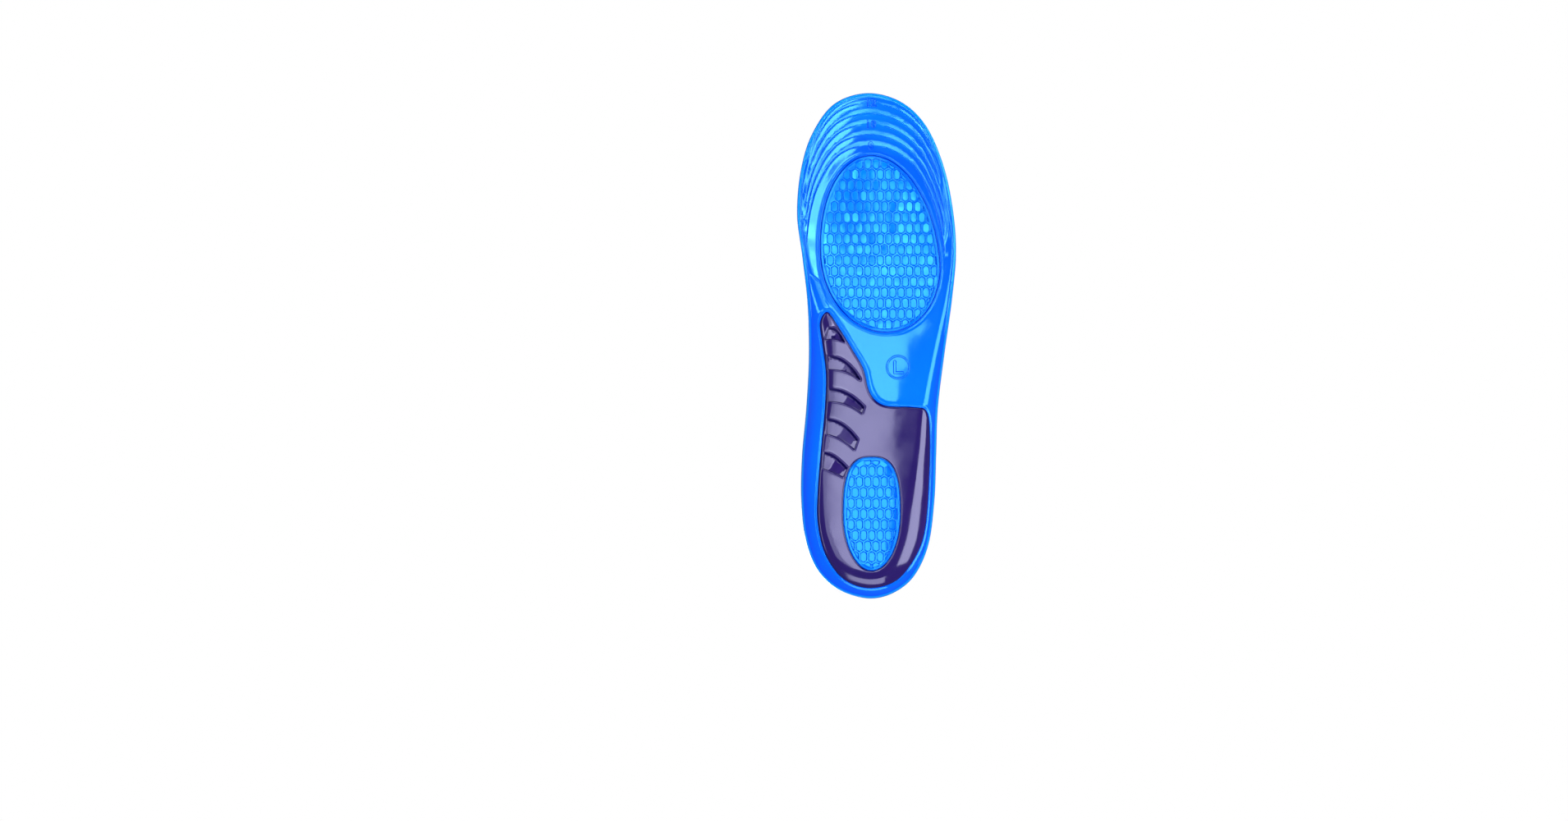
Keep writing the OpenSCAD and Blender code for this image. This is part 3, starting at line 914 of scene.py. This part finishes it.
TAN, COS, SIN = math.tan(math.pi / 6), math.cos(math.pi / 6), math.sin(math.pi / 6)
CELL_TIP = (ROW_PITCH + TAN * CELL_PITCH / 2) / 2 - CELL_WALL / 2 / COS
CELL_SIDE = (CELL_PITCH - CELL_WALL) / 2


def cell_places(mid, half):
    rows = math.ceil(half[1] / ROW_PITCH)
    columns = math.ceil(half[0] / CELL_PITCH)
    places = [((c + (0 if r % 2 == 0 else 0.5)) * CELL_PITCH, r * ROW_PITCH)
              for r in range(-rows, rows + 1) for c in range(-columns, columns + 1)]
    p = np.array(places)
    return p[np.sum((p / half) ** 2, 1) < 1] + mid


def cell_ring(mid, depth, steps=3):
    """The outline of a cell at a depth in from its edge."""
    side, tip = CELL_SIDE - depth, CELL_TIP - depth / COS
    shoulder = tip - side * TAN
    corners = np.array([(0, tip), (-side, shoulder), (-side, -shoulder), (0, -tip), (side, -shoulder),
                        (side, shoulder)])
    t = np.arange(steps)[None, :, None] / steps
    ring = corners[:, None, :] * (1 - t) + np.roll(corners, -1, 0)[:, None, :] * t
    return ring.reshape(-1, 2) + mid


def smooth_min(a, b, soft):
    h = np.clip(0.5 + (b - a) / (2 * soft), 0, 1)
    return b * (1 - h) + a * h - soft * h * (1 - h)


def cell_depth(p, places, tilts, border):
    """How far inside a honeycomb cell each point is, cut off by the pad's border, and the lean of
    the cell's flat end."""
    best = np.full(len(p), -9.0)
    lean = np.zeros(len(p))
    for mid, tilt in zip(places, tilts):
        k = np.where((np.abs(p[:, 0] - mid[0]) < CELL_PITCH * 0.6)
                     & (np.abs(p[:, 1] - mid[1]) < ROW_PITCH * 0.7))[0]
        dx, dy = np.abs(p[k] - mid).T
        inside = smooth_min(CELL_SIDE - dx, CELL_TIP * COS - dx * SIN - dy * COS, 0.12)
        lean[k] = np.where(inside > best[k], (p[k] - mid) @ tilt, lean[k])
        best[k] = np.maximum(best[k], inside)
    return smooth_min(best, border, 0.12), lean


def make_pad(name, egg, mid, half, bottom, top, level):
    """A pad whose cells lean as the gel around them does, or face straight down if level is 1."""
    rim_steps = (0, 0.06, 0.16, 0.3, 0.5, 0.75, 1.0, 1.25, 1.5)
    cell_steps = (-0.3, -0.05, 0.04, 0.13, 0.23, 0.33, 0.7)
    plan = Plan()
    ring = evened(egg, 0.8, True)
    for offset in rim_steps:
        plan.line(shifted(ring, GAP + offset, True))
    for offset in cell_steps:
        plan.line(shifted(ring, PAD_BORDER + offset, True))
    places = cell_places(mid * STRETCH, half)
    tilts = np.random.default_rng(len(places)).normal(0, CELL_TILT, places.shape)
    tilts -= level * slopes(floor_height, places)
    field = shifted(ring, PAD_BORDER - 0.2, True)
    for place in places:
        for depth in cell_steps:
            cell = cell_ring(place, depth)
            if within(cell, field).all():
                plan.line(cell)
            else:
                plan.scatter(cell[within(cell, field)])
    plan.scatter(places[within(places, field)])
    edge = shifted(ring, GAP, True)
    xy, tri = plan.triangles(lambda c: within(c, edge))

    def under(p):
        rim = depth_in(p, edge)
        border = rim + GAP - PAD_BORDER
        inside, lean = cell_depth(p, places, tilts, border)
        lip = 1 - bead(rim + GAP, PAD_LIP_AT, PAD_LIP_W)
        z = bottom + PAD_LIP_H * lip + rounded(rim, 0.5) * 0.9 + Place(p).floor()
        z += (CELL_DEPTH * 0.95 + lean) * ease((inside + 0.05) / 0.38)
        return z - 0.012 * ease((inside - 0.6) / 1.3)

    low = under(xy)
    thick = cover_top(xy) - COVER_T - FILM_T - low
    flat = np.zeros((len(xy), 2))
    return slab(name, xy, tri, low, np.full(len(xy), top), slopes(under, xy), flat, SOFT_BLUE,
                thick)


cover = make_cover()
film_piece = make_film()
gel_shell = make_gel()
support = make_support()
fore_pad = make_pad("forefoot_gel_pad", FORE_EGG, FORE_MID, np.array([FORE_HALF_W, FORE_TO_TOE]),
                    0.0, FORE_TOP, 1.0)
heel_pad = make_pad("heel_gel_pad", HEEL_EGG, HEEL_MID, np.array([HEEL_HALF_W, HEEL_HALF_L]),
                    HEEL_LOW, HEEL_TOP, 0.0)

# Light thrown down by the gel would tint the floor.
for piece in (gel_shell, support, fore_pad, heel_pad):
    piece.visible_diffuse = False

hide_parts("top_cover")
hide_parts("barrier_film")
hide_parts("gel_body")
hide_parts("arch_heel_support")
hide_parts("forefoot_pad")
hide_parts("heel_pad")

width, length = DRAWN_W * KX * MM, DRAWN_L * KY * MM


# ---- Studio ----

def softbox(name, place, size, brightness):
    """A plain rectangular light that faces the insole."""
    data = bpy.data.lights.new(name, "AREA")
    data.shape = "RECTANGLE"
    data.size, data.size_y = size
    data.energy = brightness * math.pi * size[0] * size[1]
    obj = bpy.data.objects.new(name, data)
    bpy.context.scene.collection.objects.link(obj)
    back = Vector(place).normalized()
    across = Vector((0, 1, 0)).cross(back).normalized()
    turn = Matrix((across, back.cross(across), back)).transposed()
    obj.matrix_world = Matrix.Translation(place) @ turn.to_4x4()


def make_floor():
    """A pale floor that is seen only from above."""
    mesh = bpy.data.meshes.new("floor")
    s, z = 3.0, -0.0002
    mesh.from_pydata([(-s, -s, z), (s, -s, z), (s, s, z), (-s, s, z)], [], [(0, 1, 2, 3)])
    floor = bpy.data.objects.new("floor", mesh)
    bpy.context.scene.collection.objects.link(floor)
    material = bpy.data.materials.new("floor_pale")
    material.use_nodes = True
    tree = material.node_tree
    tree.nodes.clear()
    out = tree.nodes.new("ShaderNodeOutputMaterial")
    mix = tree.nodes.new("ShaderNodeMixShader")
    matte = tree.nodes.new("ShaderNodeBsdfDiffuse")
    matte.inputs["Color"].default_value = (0.8, 0.8, 0.8, 1)
    clear = tree.nodes.new("ShaderNodeBsdfTransparent")
    side = tree.nodes.new("ShaderNodeNewGeometry")
    tree.links.new(side.outputs["Backfacing"], mix.inputs["Fac"])
    tree.links.new(matte.outputs[0], mix.inputs[1])
    tree.links.new(clear.outputs[0], mix.inputs[2])
    tree.links.new(mix.outputs[0], out.inputs["Surface"])
    mesh.materials.append(material)
    for ray in ("visible_diffuse", "visible_glossy", "visible_transmission", "visible_shadow",
                "visible_volume_scatter"):
        setattr(floor, ray, False)


def make_world():
    world = bpy.data.worlds.new("studio")
    world.use_nodes = True
    tree = world.node_tree
    tree.nodes.clear()
    out = tree.nodes.new("ShaderNodeOutputWorld")
    mix = tree.nodes.new("ShaderNodeMixShader")
    dim = tree.nodes.new("ShaderNodeBackground")
    dim.inputs["Color"].default_value = (0.9, 0.95, 1, 1)
    dim.inputs["Strength"].default_value = 0.25
    plain = tree.nodes.new("ShaderNodeBackground")
    plain.inputs["Color"].default_value = (1, 1, 1, 1)
    plain.inputs["Strength"].default_value = 1.0
    path = tree.nodes.new("ShaderNodeLightPath")
    tree.links.new(path.outputs["Is Camera Ray"], mix.inputs["Fac"])
    tree.links.new(dim.outputs[0], mix.inputs[1])
    tree.links.new(plain.outputs[0], mix.inputs[2])
    tree.links.new(mix.outputs[0], out.inputs["Surface"])
    bpy.context.scene.world = world


make_floor()
make_world()

# The insole is seen from below, so that its left in the picture is +X.
# Each softbox: its name, its middle, its width and height and its brightness.
SOFTBOXES = [
    ("axis_box", (0.01, -0.33, -2.62), (0.48, 0.98), 6.4),
    ("dim_axis_box", (0.555, -0.33, -2.6), (0.55, 0.98), 2.6),
    ("left_axis_box", (0.6, 0.5, -2.6), (0.5, 0.8), 5.5),
    ("toe_window", (0.1975, 0.535, -2.62), (0.285, 0.89), 11.5),
    ("narrow_window", (-0.07, 0.2, -2.62), (0.07, 0.16), 6.0),
    ("small_window", (-0.125, 0.18, -2.62), (0.04, 0.1), 6.0),
    ("left_box", (1.35, 0.1, -0.95), (0.3, 1.7), 8.0),
    ("right_box", (-1.2, 0.0, -1.1), (0.8, 1.8), 7.0),
    ("toe_box", (0.1, 1.35, -0.9), (1.0, 0.3), 5.0),
    ("heel_box", (0.0, -1.4, -1.0), (1.2, 0.5), 5.0),
    ("key_above", (0.6, -0.7, 1.3), (0.9, 0.9), 7.5),
    ("fill_above", (-0.9, 0.6, 1.0), (0.8, 1.2), 4.0),
]
for box in SOFTBOXES:
    softbox(*box)

LENS = 100.0
SENSOR = 36.0
IMAGE_W, IMAGE_H = 1910, 1000
OBJECT_IN_IMAGE = 0.617
MIDDLE_X, MIDDLE_Y = 0.113, -0.0785
camera_data = bpy.data.cameras.new("camera")
camera_data.lens = LENS
camera_data.sensor_width = SENSOR
camera = bpy.data.objects.new("camera", camera_data)
bpy.context.scene.collection.objects.link(camera)
view_h = length / OBJECT_IN_IMAGE
distance = view_h * IMAGE_W / IMAGE_H * LENS / SENSOR
camera.location = (MIDDLE_X * view_h, MIDDLE_Y * view_h, -distance)
camera.rotation_euler = (0, math.pi, 0)
camera_data.clip_end = 20
bpy.context.scene.camera = camera
bpy.context.scene.view_settings.view_transform = "Standard"
